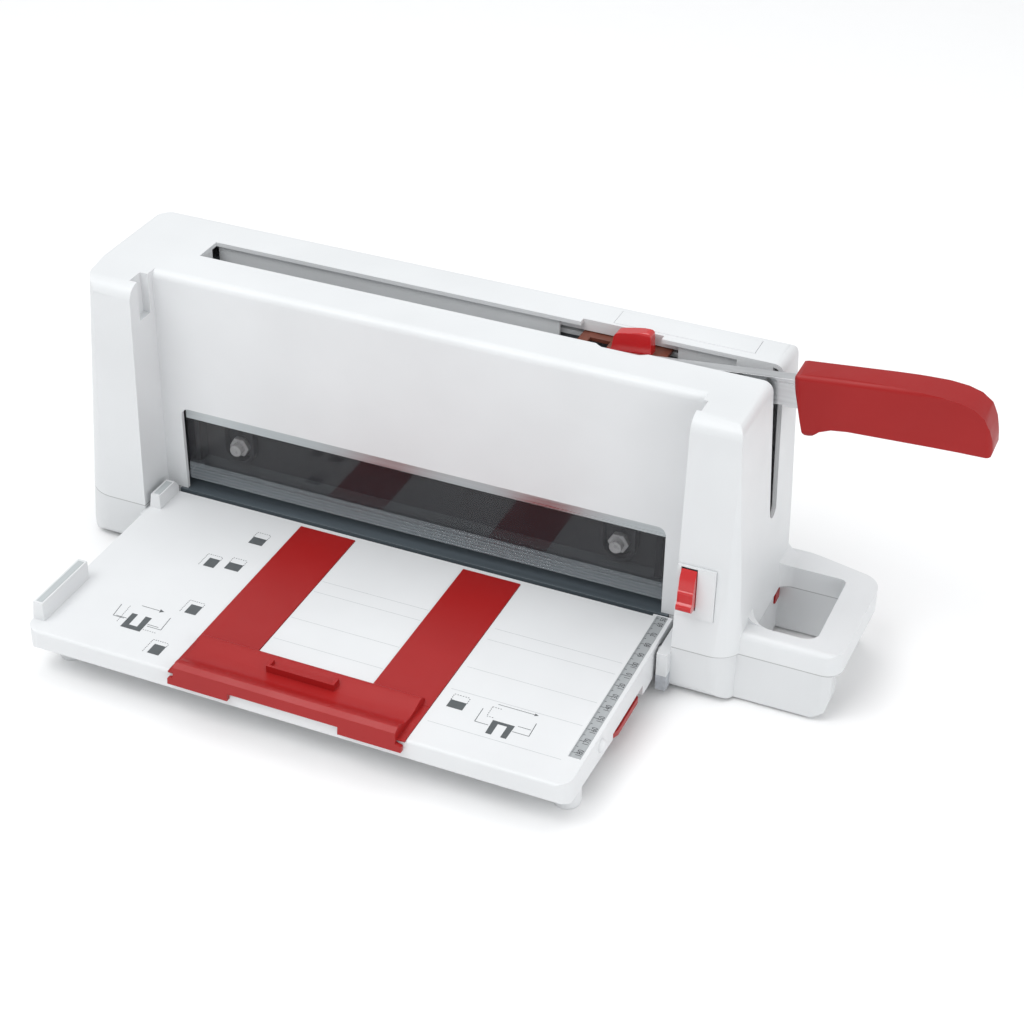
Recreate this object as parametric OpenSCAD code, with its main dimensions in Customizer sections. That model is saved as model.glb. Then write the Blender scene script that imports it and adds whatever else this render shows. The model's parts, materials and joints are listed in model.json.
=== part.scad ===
// Desktop stack paper cutter with a fold-up paper table, in millimetres.
// X runs along the cut, Y from the table (-) to the rear (+), Z up from the ground.
// The origin is on the ground, under the middle of the cut line (the plane y = 0).

/* [Cut] */
// Clear width of the paper window
cut_len = 307; // [290:1:307]
// Height of the bed and of the table's top above the ground
bed_z = 32; // [32:1:34]
// Clear height of the paper window
window_h = 57; // [50:1:57]

/* [Housing] */
// Top of the housing above the ground
top_z = 178; // [178:1:182]
// Left side of the housing at its top
left_x = -202; // [-203:1:-200]
// Right side of the housing at its top
right_x = 199; // [197:1:201]
// How far each side leans out between the top and the seam
lean = 8; // [4:1:9]
// Front faces of the two pillars
front_y = -76; // [-77:1:-75]
// Rear face of the housing
back_y = 25; // [24:1:27]
// Front face of the recess that the folded table lies in
recess_y = -48.5; // [-48.5:0.1:-48]
// Wall thickness of the mouldings
wall = 2.5; // [2:0.1:2.6]

/* [Lever] */
// Angle of the lever above the horizontal at rest
lever_deg = 5.8; // [5:0.1:6.5]
// Thickness of the lever's steel bar
arm_t = 7; // [6:0.5:7]

/* [Table] */
// Depth of the table from its rear edge to its front edge
table_d = 154; // [150:1:154]
// Thickness of the gauge's two straps
strap_t = 1.3; // [1:0.1:1.5]

/* [Hidden] */
$fn = 48;
run = 0.05;               // radial clearance of a running fit
gap = 0.3;                // clearance between mouldings that move past each other
half = cut_len / 2;
pan_z = 2;                // underside of the base, on 2 mm of rubber
slot_x = -149.5;          // left end of the top slot
slot_y0 = -20.7;          // front edge of the top slot
slot_y1 = -1.8;           // rear edge of the top slot
in_left = -167;           // inner faces of the pillars
in_right = 169.5;
// the lever
pivot = [-155, 138];      // lever pivot, x and z
arm_y = -17;              // front face of the steel bar
roller_r = 28;            // distance of the drive roller from the pivot
lug = [95, 160];          // lock lug, x and z at rest
// the blade carriage slides on pins in slots that lean over to the right
slant = 30;
up_mm = 18.9;             // blade travel above rest
down_mm = 4.62;           // blade travel below rest
edge_z = bed_z + down_mm + 0.2;
pin_x = [-70, 130];
pin_z = 110;
// the clamp
foot_z = bed_z + 5;       // underside of the clamp foot at rest
bolt_x = 122;
bolt_z = bed_z + 31;
// the table
hinge = [-73, bed_z - 7]; // table hinge, y and z
table_y1 = -53.5;
table_y0 = table_y1 - table_d;
table_x0 = -164;
table_x1 = 161.5;
seam_z = bed_z - 6.5;     // joint between the table's two shells
strap_x = [35, 71];
strap_w = strap_x[1] - strap_x[0];
boss_y = -160.4;          // snap bosses on the table's sides
boss_z = seam_z - 1.5;
lock_pin = [155, -102];   // pivot of the gauge lock, x and y

function arc(c, r, a0, a1, n = 8) = [for (i = [0 : n]) let (a = a0 + (a1 - a0) * i / n)
    [c[0] + r * cos(a), c[1] + r * sin(a)]];
// rounded rectangle, with one radius for each corner: low-low, high-low, high-high, low-high
function round_rect(x0, x1, y0, y1, r) = concat(
    arc([x0 + r[0], y0 + r[0]], r[0], 180, 270), arc([x1 - r[1], y0 + r[1]], r[1], 270, 360),
    arc([x1 - r[2], y1 - r[2]], r[2], 0, 90), arc([x0 + r[3], y1 - r[3]], r[3], 90, 180));

module along_x(x0, x1) translate([x0, 0, 0]) rotate([90, 0, 90]) linear_extrude(x1 - x0) children();
module along_y(y0, y1) translate([0, y1, 0]) rotate([90, 0, 0]) linear_extrude(y1 - y0) children();
module box(x0, x1, y0, y1, z0, z1) translate([x0, y0, z0]) cube([x1 - x0, y1 - y0, z1 - z0]);
module rod_y(x, z, y0, y1, r) translate([x, y1, z]) rotate([90, 0, 0]) cylinder(r = r, h = y1 - y0);
module rod_x(y, z, x0, x1, r) translate([x0, y, z]) rotate([0, 90, 0]) cylinder(r = r, h = x1 - x0);
module rod_z(x, y, z0, z1, r) translate([x, y, z0]) cylinder(r = r, h = z1 - z0);
module hex_y(x, z, y0, y1, r) translate([x, y1, z]) rotate([90, 0, 0]) cylinder(r = r, h = y1 - y0, $fn = 6);

// ---- housing and base ----
// front view of the housing, drawn inwards by inset; the left side cuts it back further
module front_view(inset) {
    r = 6 - inset;
    polygon(concat([[-240, bed_z - 1], [right_x + lean - inset, bed_z - 1]],
        arc([right_x - inset - r, top_z - inset - r], r, 4, 90),
        arc([left_x + 3.5 + inset / 2, top_z - inset - 4], 4, 90, 150), [[-240, bed_z + 40]]));
}

// the left side bulges out in plan and leans out towards the ground
left_lean = 5.4;
base_x = left_x - 14;       // left side of the base at the seam
module left_side(inset) translate([0, 0, top_z]) rotate([0, left_lean, 0]) translate([0, 0, -220])
    linear_extrude(240) polygon(concat(arc([-177, front_y + 20], 20 - inset, 180, 270),
        [[400, front_y + inset], [400, back_y - inset]], arc([-184, back_y - 17], 17 - inset, 90, 165),
        [[left_x + inset, -6], [left_x + inset, -24], [left_x + 2 + inset, -40]]));

// the pillars' outline in front view: the space between them is the recess
module pillar_view() {
    polygon([[left_x - 30, 0], [in_left, 0], [in_left, bed_z], [in_left + 2, top_z + 1],
        [left_x - 30, top_z + 1]]);
    polygon([[right_x + 30, 0], [in_right, 0], [in_right, bed_z], [in_right + 1.5, top_z + 1],
        [right_x + 30, top_z + 1]]);
}

module loop_plan() polygon(concat(
    [[right_x - 10, -67]], arc([252, -57], 10, 270, 357), arc([249, 2], 14, 0, 70),
    [[right_x + 5, back_y + 2], [right_x - 10, back_y + 2]]));

module loop_hole_plan() polygon(round_rect(right_x + 5.5, 245, -57, 5, [16, 8, 4, 10]));

module loop_shell(z0, z1) difference() {
    translate([0, 0, z0]) linear_extrude(z1 - z0) loop_plan();
    translate([0, 0, z0 - 1]) linear_extrude(z1 - z0 + 2) loop_hole_plan();
}

module housing_outer() intersection() {
    left_side(0);
    along_y(front_y - 1, back_y + 1) front_view(0);
    union() {
        along_x(left_x - 30, right_x + 30) polygon(concat([[recess_y, bed_z], [back_y, bed_z]],
            arc([back_y - 4, top_z - 4], 4, 0, 90), arc([recess_y + 5, top_z - 5], 5, 90, 180)));
        intersection() {
            along_x(left_x - 30, right_x + 30) polygon(concat([[front_y, bed_z], [back_y, bed_z]],
                arc([back_y - 4, top_z - 4], 4, 0, 90), arc([front_y + 12, top_z - 9], 9, 90, 175)));
            along_y(front_y - 1, back_y + 1) pillar_view();
        }
    }
    linear_extrude(top_z + 1)
        polygon(round_rect(-240, right_x + lean, front_y, back_y, [16, 16, 12, 12]));
}

module housing_cavity() intersection() {
    left_side(wall);
    along_y(front_y + wall, back_y - wall) front_view(wall);
    union() {
        along_x(left_x - 30, right_x + 30) polygon(concat([[recess_y + wall, 0], [back_y - wall, 0]],
            arc([back_y - 4, top_z - 4], 4 - wall, 0, 90, 2),
            arc([recess_y + 5, top_z - 5], 5 - wall, 90, 180)));
        for (x = [[left_x - 30, in_left - 5], [in_right + 5, right_x + 30]]) along_x(x[0], x[1])
            polygon(concat([[front_y + wall, 0], [0, 0], [0, top_z - wall]],
                arc([front_y + 12, top_z - 9], 9 - wall, 90, 175)));
    }
    linear_extrude(top_z + 1) polygon(round_rect(-240, right_x + lean - wall,
        front_y + wall, back_y - wall, [13, 13, 9, 9]));
}

// screw columns that stand in the corners of the housing and of the base
case_screw_at = [[-177, -45], [-179, -14], [190, -45], [190, -14]];

module housing() difference() {
    union() {
        difference() {
            union() {
                housing_outer();
                intersection() {
                    loop_shell(bed_z, bed_z + 14);
                    along_x(right_x - 20, right_x + 70) polygon(concat([[-67, bed_z], [25, bed_z]],
                        arc([back_y - 3, bed_z + 10], 4, 0, 90, 4), arc([-63, bed_z + 10], 4, 90, 180, 4)));
                }
                // fillet between the side and the top of the carry loop
                intersection() {
                    loop_shell(bed_z + 13, bed_z + 26);
                    along_y(-56, back_y - 5) polygon(concat([[right_x, bed_z + 13], [right_x, bed_z + 22]],
                        arc([right_x + 15, bed_z + 24], 10, 190, 268, 6)));
                }
            }
            housing_cavity();
            // inside of the carry loop
            difference() {
                translate([0, 0, bed_z - 1]) linear_extrude(12.5) intersection() {
                    loop_plan();
                    polygon(round_rect(right_x + 8, 260, -64.5, 19, [4, 8, 10, 4]));
                }
                translate([0, 0, bed_z - 2]) linear_extrude(20)
                    polygon(round_rect(right_x + 3, 247.5, -59.5, 7.5, [18, 10, 6, 12]));
            }
        }
        for (p = case_screw_at) rod_z(p[0], p[1], bed_z, bed_z + 20, 5);
        intersection() {
            housing_outer();
            for (p = case_screw_at) box(p[0] < 0 ? -216 : p[0], p[0] < 0 ? p[0] : 208, p[1] - 1, p[1] + 1,
                bed_z, bed_z + 20);
        }
    }
    for (p = case_screw_at) rod_z(p[0], p[1], bed_z - 1, bed_z + 14, 2);
    // paper window and rear outlet
    along_y(recess_y - 1, recess_y + wall + 1) polygon(concat([[-half, bed_z - 1], [half, bed_z - 1]],
        arc([half - 5, bed_z + window_h - 5], 5, 0, 90), arc([-half + 5, bed_z + window_h - 5], 5, 90, 180)));
    box(-158, 158, back_y - wall - 1, back_y + 1, bed_z - 1, bed_z + 30);
    // top slot, open to the right, and the lever's slot down the right side
    box(slot_x, right_x + 20, slot_y0, slot_y1, top_z - 15, top_z + 1);
    along_x(right_x - 6, right_x + 20) polygon(concat([[slot_y0, top_z + 1]],
        arc([slot_y0 + 6, bed_z + 64], 6, 180, 340), [[slot_y1, top_z + 1]]));
    // recess for the lock knob and finger scallop in front of it
    box(81.5, 129, slot_y1 - 1, 2.2, top_z - wall - 1, top_z + 1);
    intersection() {
        rod_z(113, -2, top_z - 1.6, top_z + 1, 24);
        box(80, 150, -40, slot_y0 + 1, top_z - 2, top_z + 2);
    }
    // notches in the pillars' inner faces
    box(in_left - 3, in_left + 10, -64, -53, top_z - 25, top_z + 1);
    box(in_right - 10, in_right + 4, -64, -53, top_z - 25, top_z + 1);
    // seats of the switch plate, the top hatch and the rear cover
    box(in_right + 0.8, 192.2, front_y - 1, front_y + 1.5, bed_z + 23.3, bed_z + 56.7);
    box(in_right + 1.6, 184, front_y - 1, front_y + 10, bed_z + 28, bed_z + 56);
    box(98.4, 180.2, 4.3, 19.2, top_z - 1.5, top_z + 1);
    box(-150.2, 150.2, back_y - 1.5, back_y + 1, 69.8, 160.2);
    box(-142, 142, back_y - wall - 1, back_y + 1, 78, 152);
    for (x = [-146, 146], z = [90, 140]) rod_y(x, z, back_y - 4, back_y, 1.4);
}

// the housing's mouldings: the split lines are hidden in its smooth faces
split_l = -160;
split_r = 165;
split_y = -15;
split_loop = right_x + 7.2;
module front_shell() color("white") intersection() {
    housing();
    box(split_l, split_r, front_y - 1, split_y, 0, top_z + 5);
}

module rear_shell() color("white") intersection() {
    housing();
    box(split_l, split_r, split_y, back_y + 5, 0, top_z + 5);
}

module left_end() color("white") intersection() {
    housing();
    box(-240, split_l, front_y - 1, back_y + 5, 0, top_z + 5);
}

module right_end() color("white") intersection() {
    housing();
    box(split_r, split_loop, front_y - 1, back_y + 5, 0, top_z + 5);
}

module carry_loop() color("white") intersection() {
    housing();
    box(split_loop, right_x + 80, front_y - 1, back_y + 5, 0, top_z + 5);
}

// inner walls of the top slot, hung from the housing's top
module slot_walls() color("white") {
    box(slot_x, 68, 0.5, 2.5, top_z - 20, top_z - wall);
    box(138, 172, 0.5, 2.5, top_z - 20, top_z - wall);
    box(172, 192.5, slot_y1, 2.5, 88, top_z - wall);
    box(68, 138, 2.2, 4.2, top_z - 7, top_z - wall);
    box(slot_x, 170, slot_y0 - 2.2, slot_y0, top_z - 13, top_z - wall);
    box(179.5, 192.5, slot_y0 - 2.2, slot_y0, 100, top_z - wall);
    box(slot_x - 2, slot_x, slot_y0, -6.8, top_z - 12, top_z - wall);
}

module rear_cover() color("white") difference() {
    box(-150, 150, back_y - 1.5, back_y + 0.3, 70, 160);
    for (x = [-146, 146], z = [90, 140]) rod_y(x, z, back_y - 4, back_y + 1, 1.9);
    for (x = [-60 : 12 : 60]) box(x, x + 4, back_y - 4, back_y + 1, 128, 150);
}

module top_hatch() color("white") box(98.6, 180, 4.5, 19, top_z - 1.5, top_z + 0.2);

// side view of the base, rounded underneath, drawn inwards by inset
module pan_side(y0, inset) {
    r = 8 - inset;
    polygon(concat([[back_y - inset, bed_z + 1], [y0 + inset, bed_z + 1]],
        arc([y0 + inset + r, pan_z + inset + r], r, 180, 270),
        arc([back_y - inset - r, pan_z + inset + r], r, 270, 360)));
}

// front view of the base, whose sides draw in towards the ground
module pan_front(inset) {
    r = 9 - inset;
    polygon(concat([[right_x + 70, bed_z + 1], [base_x + inset, bed_z + 1]],
        arc([base_x + 5 + inset + r, pan_z + inset + r], r, 185, 270),
        [[right_x + 70, pan_z + inset]]));
}

module pan_outer() intersection() {
    union() {
        along_x(left_x - 30, right_x + 30) pan_side(recess_y, 0);
        intersection() {
            along_x(left_x - 30, right_x + 30) pan_side(front_y, 0);
            along_y(front_y - 1, back_y + 1) pillar_view();
        }
    }
    along_y(front_y - 1, back_y + 1) pan_front(0);
    left_side(0);
    linear_extrude(bed_z)
        polygon(round_rect(-240, right_x + lean - 1, front_y, back_y, [16, 16, 12, 12]));
}

module pan_cavity() intersection() {
    union() {
        along_x(left_x - 30, right_x + 30) pan_side(recess_y, wall);
        intersection() {
            along_x(left_x - 30, right_x + 30) pan_side(front_y, wall);
            union() {
                box(left_x - 30, in_left - wall, front_y, 0, 0, bed_z + 1);
                box(in_right + wall, right_x + 30, front_y, 0, 0, bed_z + 1);
            }
        }
    }
    along_y(front_y - 1, back_y + 1) pan_front(wall);
    left_side(wall);
    linear_extrude(bed_z + 1) polygon(round_rect(-240, right_x + lean - 1 - wall,
        front_y + wall, back_y - wall, [13, 13, 9, 9]));
}

foot_at = [[-176.5, -61], [-176.5, 9], [188, -61], [188, 9], [0, 0]];
post_at = [[-150, -40], [0, -40], [150, -40], [-150, 15], [0, 15], [150, 15]];

module base_pan() color("white") difference() {
    union() {
        difference() {
            pan_outer();
            pan_cavity();
        }
        // carry loop: front bar and rear leg
        difference() {
            intersection() {
                translate([0, 0, pan_z]) linear_extrude(bed_z - pan_z) loop_plan();
                union() {
                    box(right_x + 4, 258, -67, -55, pan_z, bed_z);
                    box(right_x + 4, 257, 5, back_y, pan_z, bed_z);
                }
                along_y(-70, back_y + 1) polygon([[right_x, bed_z + 1], [right_x, pan_z], [249, pan_z],
                    [256, pan_z + 5], [262, bed_z + 1]]);
            }
            translate([0, 0, pan_z - 1]) linear_extrude(bed_z) loop_hole_plan();
            box(right_x + 8, 253, -64.5, -59.5, pan_z + wall, bed_z + 1);
            box(right_x + 8, 250, 7.5, 15, pan_z + wall, bed_z + 1);
        }
        for (p = case_screw_at) rod_z(p[0], p[1], pan_z + 1, bed_z, 5);
        for (p = post_at) rod_z(p[0], p[1], pan_z + 1, bed_z - 3, 4);
    }
    for (p = case_screw_at) {
        rod_z(p[0], p[1], pan_z - 1, bed_z + 1, 2.2);
        rod_z(p[0], p[1], pan_z - 1, pan_z + 4, 4);
    }
    for (p = foot_at) rod_z(p[0], p[1], pan_z - 1, pan_z + 1, p[0] == 0 ? 10.2 : 7.2);
    // way out for the cutting stick
    box(right_x, right_x + 20, -4.5, 4.5, bed_z - 8.5, bed_z + 1);
    // battery compartment
    box(-136.2, -85.8, -39.2, -15.8, pan_z - 1, pan_z + wall + 1);
    // seat of the bed plate on the front wall
    box(-158.2, 158.2, -60, 20.2, bed_z - 3, bed_z + 1);
}

module rubber_feet() color("dimgray") for (p = foot_at) {
    rod_z(p[0], p[1], 0, pan_z + 1, p[0] == 0 ? 10 : 7);
}

module case_screws() color("silver") {
    for (p = case_screw_at) {
        rod_z(p[0], p[1], pan_z + 1.5, pan_z + 4, 3.6);
        rod_z(p[0], p[1], pan_z + 4, bed_z + 14, 2);
    }
    for (x = [-146, 146], z = [90, 140]) {
        rod_y(x, z, back_y - 4, back_y + 0.3, 1.4);
        rod_y(x, z, back_y + 0.3, back_y + 1.8, 3);
    }
}

// ---- bed, cutting stick and frame ----
module bed_plate() color("#33373c") difference() {
    union() {
        box(-158, 158, -50, 20, bed_z - 3, bed_z);
        box(-171, 180, -45.5, 20, bed_z - 3, bed_z);
    }
    box(-156, 181, -4.2, 4.2, bed_z - 4, bed_z + 1);
}

module stick_channel() color("silver") difference() {
    box(-157, 200, -7, 7, bed_z - 11, bed_z - 3);
    box(-156, 201, -4.2, 4.2, bed_z - 8.2, bed_z);
}

module cutting_stick() color("firebrick") union() {
    box(-155, right_x + 4, -4, 4, bed_z - 8, bed_z - 0.1);
    box(right_x + 4, right_x + 8, -4, 4, bed_z - 8, bed_z - 0.5);
}

frame_x = 178;
spacer_at = [[-173, 158], [-173, 62], [173, 62]];

module frame_plate_view(low_z) difference() {
    union() {
        polygon([[-frame_x, low_z], [frame_x, low_z], [frame_x, 151], [frame_x - 12, 163],
            [-frame_x + 12, 163], [-frame_x, 151]]);
        for (s = [-1, 1]) translate([s > 0 ? frame_x - 18 : -frame_x, bed_z]) square([18, 100]);
    }
    for (p = spacer_at) translate(p) circle(r = 3);
}

module frame_rear() color("#5c6068") difference() {
    union() {
        along_y(8, 11) frame_plate_view(66);
        for (s = [-1, 1]) box(s > 0 ? 160 : -178, s > 0 ? 178 : -160, 8, 20, bed_z, bed_z + 3);
    }
    for (x = pin_x) rod_y(x, pin_z, 7, 12, 3.5);
}

module frame_front() color("#5c6068") difference() {
    union() {
        along_y(-24, -21) frame_plate_view(78);
        // tabs that guide the clamp's bolts
        for (s = [-1, 1]) box(s * bolt_x - 10, s * bolt_x + 10, -24, -21, 52, 80);
        for (s = [-1, 1]) box(s > 0 ? 160 : -178, s > 0 ? 178 : -160, -38, -21, bed_z, bed_z + 3);
        // boss that carries the lever's pivot
        rod_y(pivot[0], pivot[1], -30, -21, 12);
        // spring anchors
        for (s = [-1, 1]) box(s * 60 - 5, s * 60 + 5, -31, -24, 150, 152);
    }
    for (x = [-bolt_x, bolt_x]) {
        rod_y(x, bolt_z - 4, -25, -20, 3.8 + run);
        rod_y(x, bolt_z + 14, -25, -20, 3.8 + run);
        box(x - 3.8 - run, x + 3.8 + run, -25, -20, bolt_z - 4, bolt_z + 14);
    }
    rod_y(pivot[0], pivot[1], -31, -20, 6);
}

module frame_spacers() color("silver") for (p = spacer_at) difference() {
    rod_y(p[0], p[1], -21, 8, 5);
    rod_y(p[0], p[1], -22, 9, 3);
}

module frame_screws() color("silver") for (p = spacer_at) {
    rod_y(p[0], p[1], -24, 11, 3);
    hex_y(p[0], p[1], -27, -24, 5);
    hex_y(p[0], p[1], 11, 14, 5);
}

module lever_pivot() color("silver") union() {
    rod_y(pivot[0], pivot[1], -30, -7.2, 6);
    hex_y(pivot[0], pivot[1], -34, -30, 10);
}

module guide_pins() color("silver") for (x = pin_x) {
    rod_y(x, pin_z, -7.5, 6, 5);
    rod_y(x, pin_z, 6, 8, 8);
    rod_y(x, pin_z, 8, 13, 3.5);
}

module guide_clips() color("silver") {
    for (x = pin_x) difference() {
        rod_y(x, pin_z, -7.3, -6.4, 8);
        rod_y(x, pin_z, -8, -6, 5);
    }
    difference() {
        rod_y(pivot[0], pivot[1], -9, -8, 9);
        rod_y(pivot[0], pivot[1], -10, -7, 6);
    }
}

// one spring: a round wire swept along a helix between two heights
module spring(x, y, z0, z1, r, wire, turns) {
    sides = 6;
    steps = turns * 12;
    ring = [for (i = [0 : steps]) let (a = i * 30, z = z0 + wire + (z1 - z0 - 2 * wire) * i / steps)
        for (j = [0 : sides - 1]) let (b = j * 360 / sides, q = r - wire + wire * cos(b))
            [x + q * cos(a), y + q * sin(a), z + wire * sin(b)]];
    skin = [for (i = [0 : steps - 1]) for (j = [0 : sides - 1]) let (k = (j + 1) % sides)
        for (t = [[i * sides + j, (i + 1) * sides + k, (i + 1) * sides + j],
                  [i * sides + j, i * sides + k, (i + 1) * sides + k]]) [t[0], t[2], t[1]]];
    polyhedron(points = ring, faces = concat(skin, [[for (j = [0 : sides - 1]) j]],
        [[for (j = [sides - 1 : -1 : 0]) steps * sides + j]]));
}

module clamp_springs() color("silver") for (s = [-1, 1]) spring(s * 60, -27.4, 116, 150, 2.6, 0.45, 8);

module lock_rail() color("white") difference() {
    box(60, 150, 4.5, 12, 165, top_z - wall);
    box(59, 151, 4, 8.8, 167.8, 170.7);
}

module led_board() color("#2f6b3f") union() {
    box(-110, 110, -21, -19.4, 79, 86);
    for (x = [-100 : 40 : 100]) box(x - 2.5, x + 2.5, -19.4, -17.6, 79.5, 83.5);
}

// ---- switch and battery ----
rocker_z = bed_z + 42;
rocker_y = front_y + 3;   // switch pivot, behind the plate
module switch_plate() color("white") difference() {
    union() {
        box(in_right + 1, 192, front_y - 0.3, front_y + 1.5, bed_z + 23.5, bed_z + 56.5);
        for (x = [in_right + 1.8, 181.7])
            box(x, x + 1, front_y + 1, front_y + 5.5, rocker_z - 4, rocker_z + 4);
    }
    box(in_right + 2.8, 181.7, front_y - 1, front_y + 2, bed_z + 28.5, bed_z + 55.5);
    rod_x(rocker_y, rocker_z, in_right, 184, 1.2);
}

module rocker_switch() color("firebrick") difference() {
    along_x(in_right + 3.1, 181.4) union() {
        polygon(concat([[front_y + 2, rocker_z - 10], [front_y + 2, rocker_z + 10],
                [front_y - 0.4, rocker_z + 12.6], [front_y - 3.2, rocker_z + 8]],
            arc([front_y - 3.5, rocker_z - 1], 2, 120, 200, 4),
            arc([front_y - 4.6, rocker_z - 9], 3, 110, 270, 6)));
        translate([rocker_y, rocker_z]) circle(r = 2.8);
    }
    rod_x(rocker_y, rocker_z, in_right, 184, 1.2 + run);
}

module rocker_pin() color("silver") rod_x(rocker_y, rocker_z, in_right + 1.8, 182.7, 1.2);

module battery_box() color("dimgray") difference() {
    union() {
        box(-136, -86, -39, -16, pan_z + wall, 20);
        box(-139, -83, -40, -13, pan_z + wall, 6);
    }
    box(-135, -87, -38, -17, pan_z, 18.5);
}

module batteries() color("goldenrod") for (y = [-32.7, -22.3]) {
    rod_x(y, 11, -133, -90, 5.15);
    rod_x(y, 11, -90, -88.5, 2);
}

module battery_cover() color("white") box(-136, -86, -39, -16, pan_z, pan_z + wall);

// ---- lever ----
module in_lever() translate([pivot[0], 0, pivot[1]]) rotate([0, -lever_deg, 0]) children();
rivet_at = [[385, -5], [425, -5]];

// side view of the steel bar with its tang, along the bar from the pivot
module arm_view() {
    circle(r = 15);
    polygon([[0, -11], [372, -11], [372, 5], [75, 5], [42, 11], [0, 11]]);
    translate([360, -12]) square([82, 14]);
}

module lever_arm() color("silver") in_lever() difference() {
    along_y(arm_y, arm_y + arm_t) arm_view();
    rod_y(0, 0, arm_y - 1, arm_y + arm_t + 1, 8);
    rod_y(roller_r, 0, arm_y - 1, arm_y + arm_t + 1, 2.5);
    for (p = rivet_at) rod_y(p[0], p[1], arm_y - 1, arm_y + arm_t + 1, 2.5);
}

module lever_bush() color("goldenrod") in_lever() difference() {
    union() {
        rod_y(0, 0, arm_y, arm_y + arm_t, 8);
        rod_y(0, 0, -20.8, arm_y, 10);
        rod_y(0, 0, arm_y + arm_t, -9.2, 10);
    }
    rod_y(0, 0, -22, -8, 6 + run);
}

// side view of the grip, along the bar
module grip_view() polygon([[367, 2], [366.6, 6], [367.6, 9.2], [370.5, 10.4], [390, 10.9], [412, 10.5],
    [430, 9.6], [445, 8.2], [455, 6.2], [462, 3.4], [467.5, -1.5], [470.3, -8], [471.8, -16], [471.9, -21],
    [471, -23.6], [468.5, -24], [455, -22.7], [441, -21.8], [411, -20.2], [396, -19.4], [387, -19.8],
    [380.5, -21.9], [376.5, -25.2], [374, -26.2], [372.2, -25.8], [371, -23.5], [370, -17], [368.6, -7]]);

module handle_grip() color("firebrick") in_lever() difference() {
    intersection() {
        along_y(-22, -2) grip_view();
        along_x(360, 480) polygon(round_rect(-22, -2, -27, 10.9, [5, 5, 4, 4]));
        translate([0, 0, -30]) linear_extrude(50)
            polygon(round_rect(366.6, 471.9, -22, -2, [4.5, 4, 5, 2]));
    }
    along_y(arm_y, arm_y + arm_t) arm_view();
}

module handle_rivets() color("silver") in_lever() for (p = rivet_at) rod_y(p[0], p[1], arm_y, arm_y + arm_t, 2.5);

module roller_pin() color("silver") in_lever() {
    rod_y(roller_r, 0, arm_y, -0.1, 2.5);
}

module drive_roller() color("silver") in_lever() difference() {
    rod_y(roller_r, 0, -5.8, -0.3, 5);
    rod_y(roller_r, 0, -7, 1, 2.5 + run);
}

module lock_lug() color("silver") rod_y(lug[0], lug[1], arm_y + arm_t, -6.4, 3);

module lock_slider() color("firebrick") difference() {
    union() {
        box(82, 134, -9.5, 8.5, 168, 170.5);
        intersection() {
            along_y(-9.5, -2.5) polygon([[102.5, 170.5], [126, 170.5], [125.2, 182], [124, 183.6],
                [122, 184], [116, 182.6], [107, 180.6], [105, 179.8], [103.8, 178]]);
            along_x(100, 130) polygon(concat([[-9.5, 170], [-2.5, 170]], arc([-4.5, 182], 2, 0, 90, 4),
                arc([-7.5, 182], 2, 90, 180, 4)));
        }
    }
    box(88, 100, -10, -3, 167, 172);
}

// ---- blade carriage ----
module slot_y(x, z, lo, hi, r, y0, y1) translate([x, 0, z]) rotate([0, slant, 0]) {
    rod_y(0, lo, y0, y1, r);
    rod_y(0, hi, y0, y1, r);
    box(-r, r, y0, y1, lo, hi);
}

roller_at = [pivot[0] + roller_r * cos(lever_deg), pivot[1] + roller_r * sin(lever_deg)];

module blade_holder() color("#5c6068") difference() {
    along_y(-6, 0) polygon([[-160, edge_z + 18], [158, edge_z + 18], [158, 120], [146, 138], [-104, 138],
        [-112, 154], [-164, 154], [-164, 125], [-160, 120]]);
    for (x = pin_x)
        slot_y(x, pin_z, -(up_mm + 0.6) / cos(slant), (down_mm + 0.6) / cos(slant), 5 + run, -7, 1);
    box(-156, -118, -7, 1, roller_at[1] - 6.3, roller_at[1] + 6.4);
    for (x = blade_screw_x) rod_y(x, edge_z + 36, -7, 1, 2);
}

blade_screw_x = [for (i = [-3 : 3]) i * 46];

module blade() color("silver") difference() {
    along_x(-155.5, 155.5) polygon([[0, edge_z], [3, edge_z + 8], [3, edge_z + 47], [0, edge_z + 47]]);
    for (x = blade_screw_x) rod_y(x, edge_z + 36, -1, 4, 2);
}

module blade_screws() color("silver") for (x = blade_screw_x) {
    rod_y(x, edge_z + 36, -6, 3, 2);
    rod_y(x, edge_z + 36, 3, 5, 4);
}

// ---- clamp ----
band_z = bed_z + 49;
module clamp_bar() color("#202226") difference() {
    union() {
        box(-150, 150, -34, -30, foot_z, 112);
        box(-150, 150, -30, -8, foot_z, foot_z + 4);
        for (s = [-1, 1]) {
            box(s > 0 ? 146 : -150, s > 0 ? 150 : -146, -42.5, -34, foot_z + 13, 112);
            // raised boss round each bolt, open at the top
            difference() {
                union() {
                    rod_y(s * bolt_x, bolt_z, -39, -34, 11);
                    box(s * bolt_x - 11, s * bolt_x + 11, -39, -34, bolt_z, bolt_z + 16);
                }
                rod_y(s * bolt_x, bolt_z, -40, -34, 8.5);
                box(s * bolt_x - 8.5, s * bolt_x + 8.5, -40, -34, bolt_z, bolt_z + 17);
            }
            box(s * 60 - 4, s * 60 + 4, -30, -25, 114, 116);
            box(s * 60 - 4, s * 60 + 4, -34, -30, 110, 116);
        }
    }
    for (s = [-1, 1]) {
        rod_y(s * bolt_x, bolt_z, -35, -29, 3.85);
        box(s * bolt_x - 13, s * bolt_x + 13, -29.5, -7, foot_z - 1, foot_z + 5);
    }
}

module clamp_band() color("silver") box(-152.5, 152.5, -45.5, -42.5, band_z, 112);
module clamp_shield() color([0.2, 0.2, 0.22, 0.6]) box(-152.5, 152.5, -45.5, -42.5, foot_z + 13, band_z);

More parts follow.
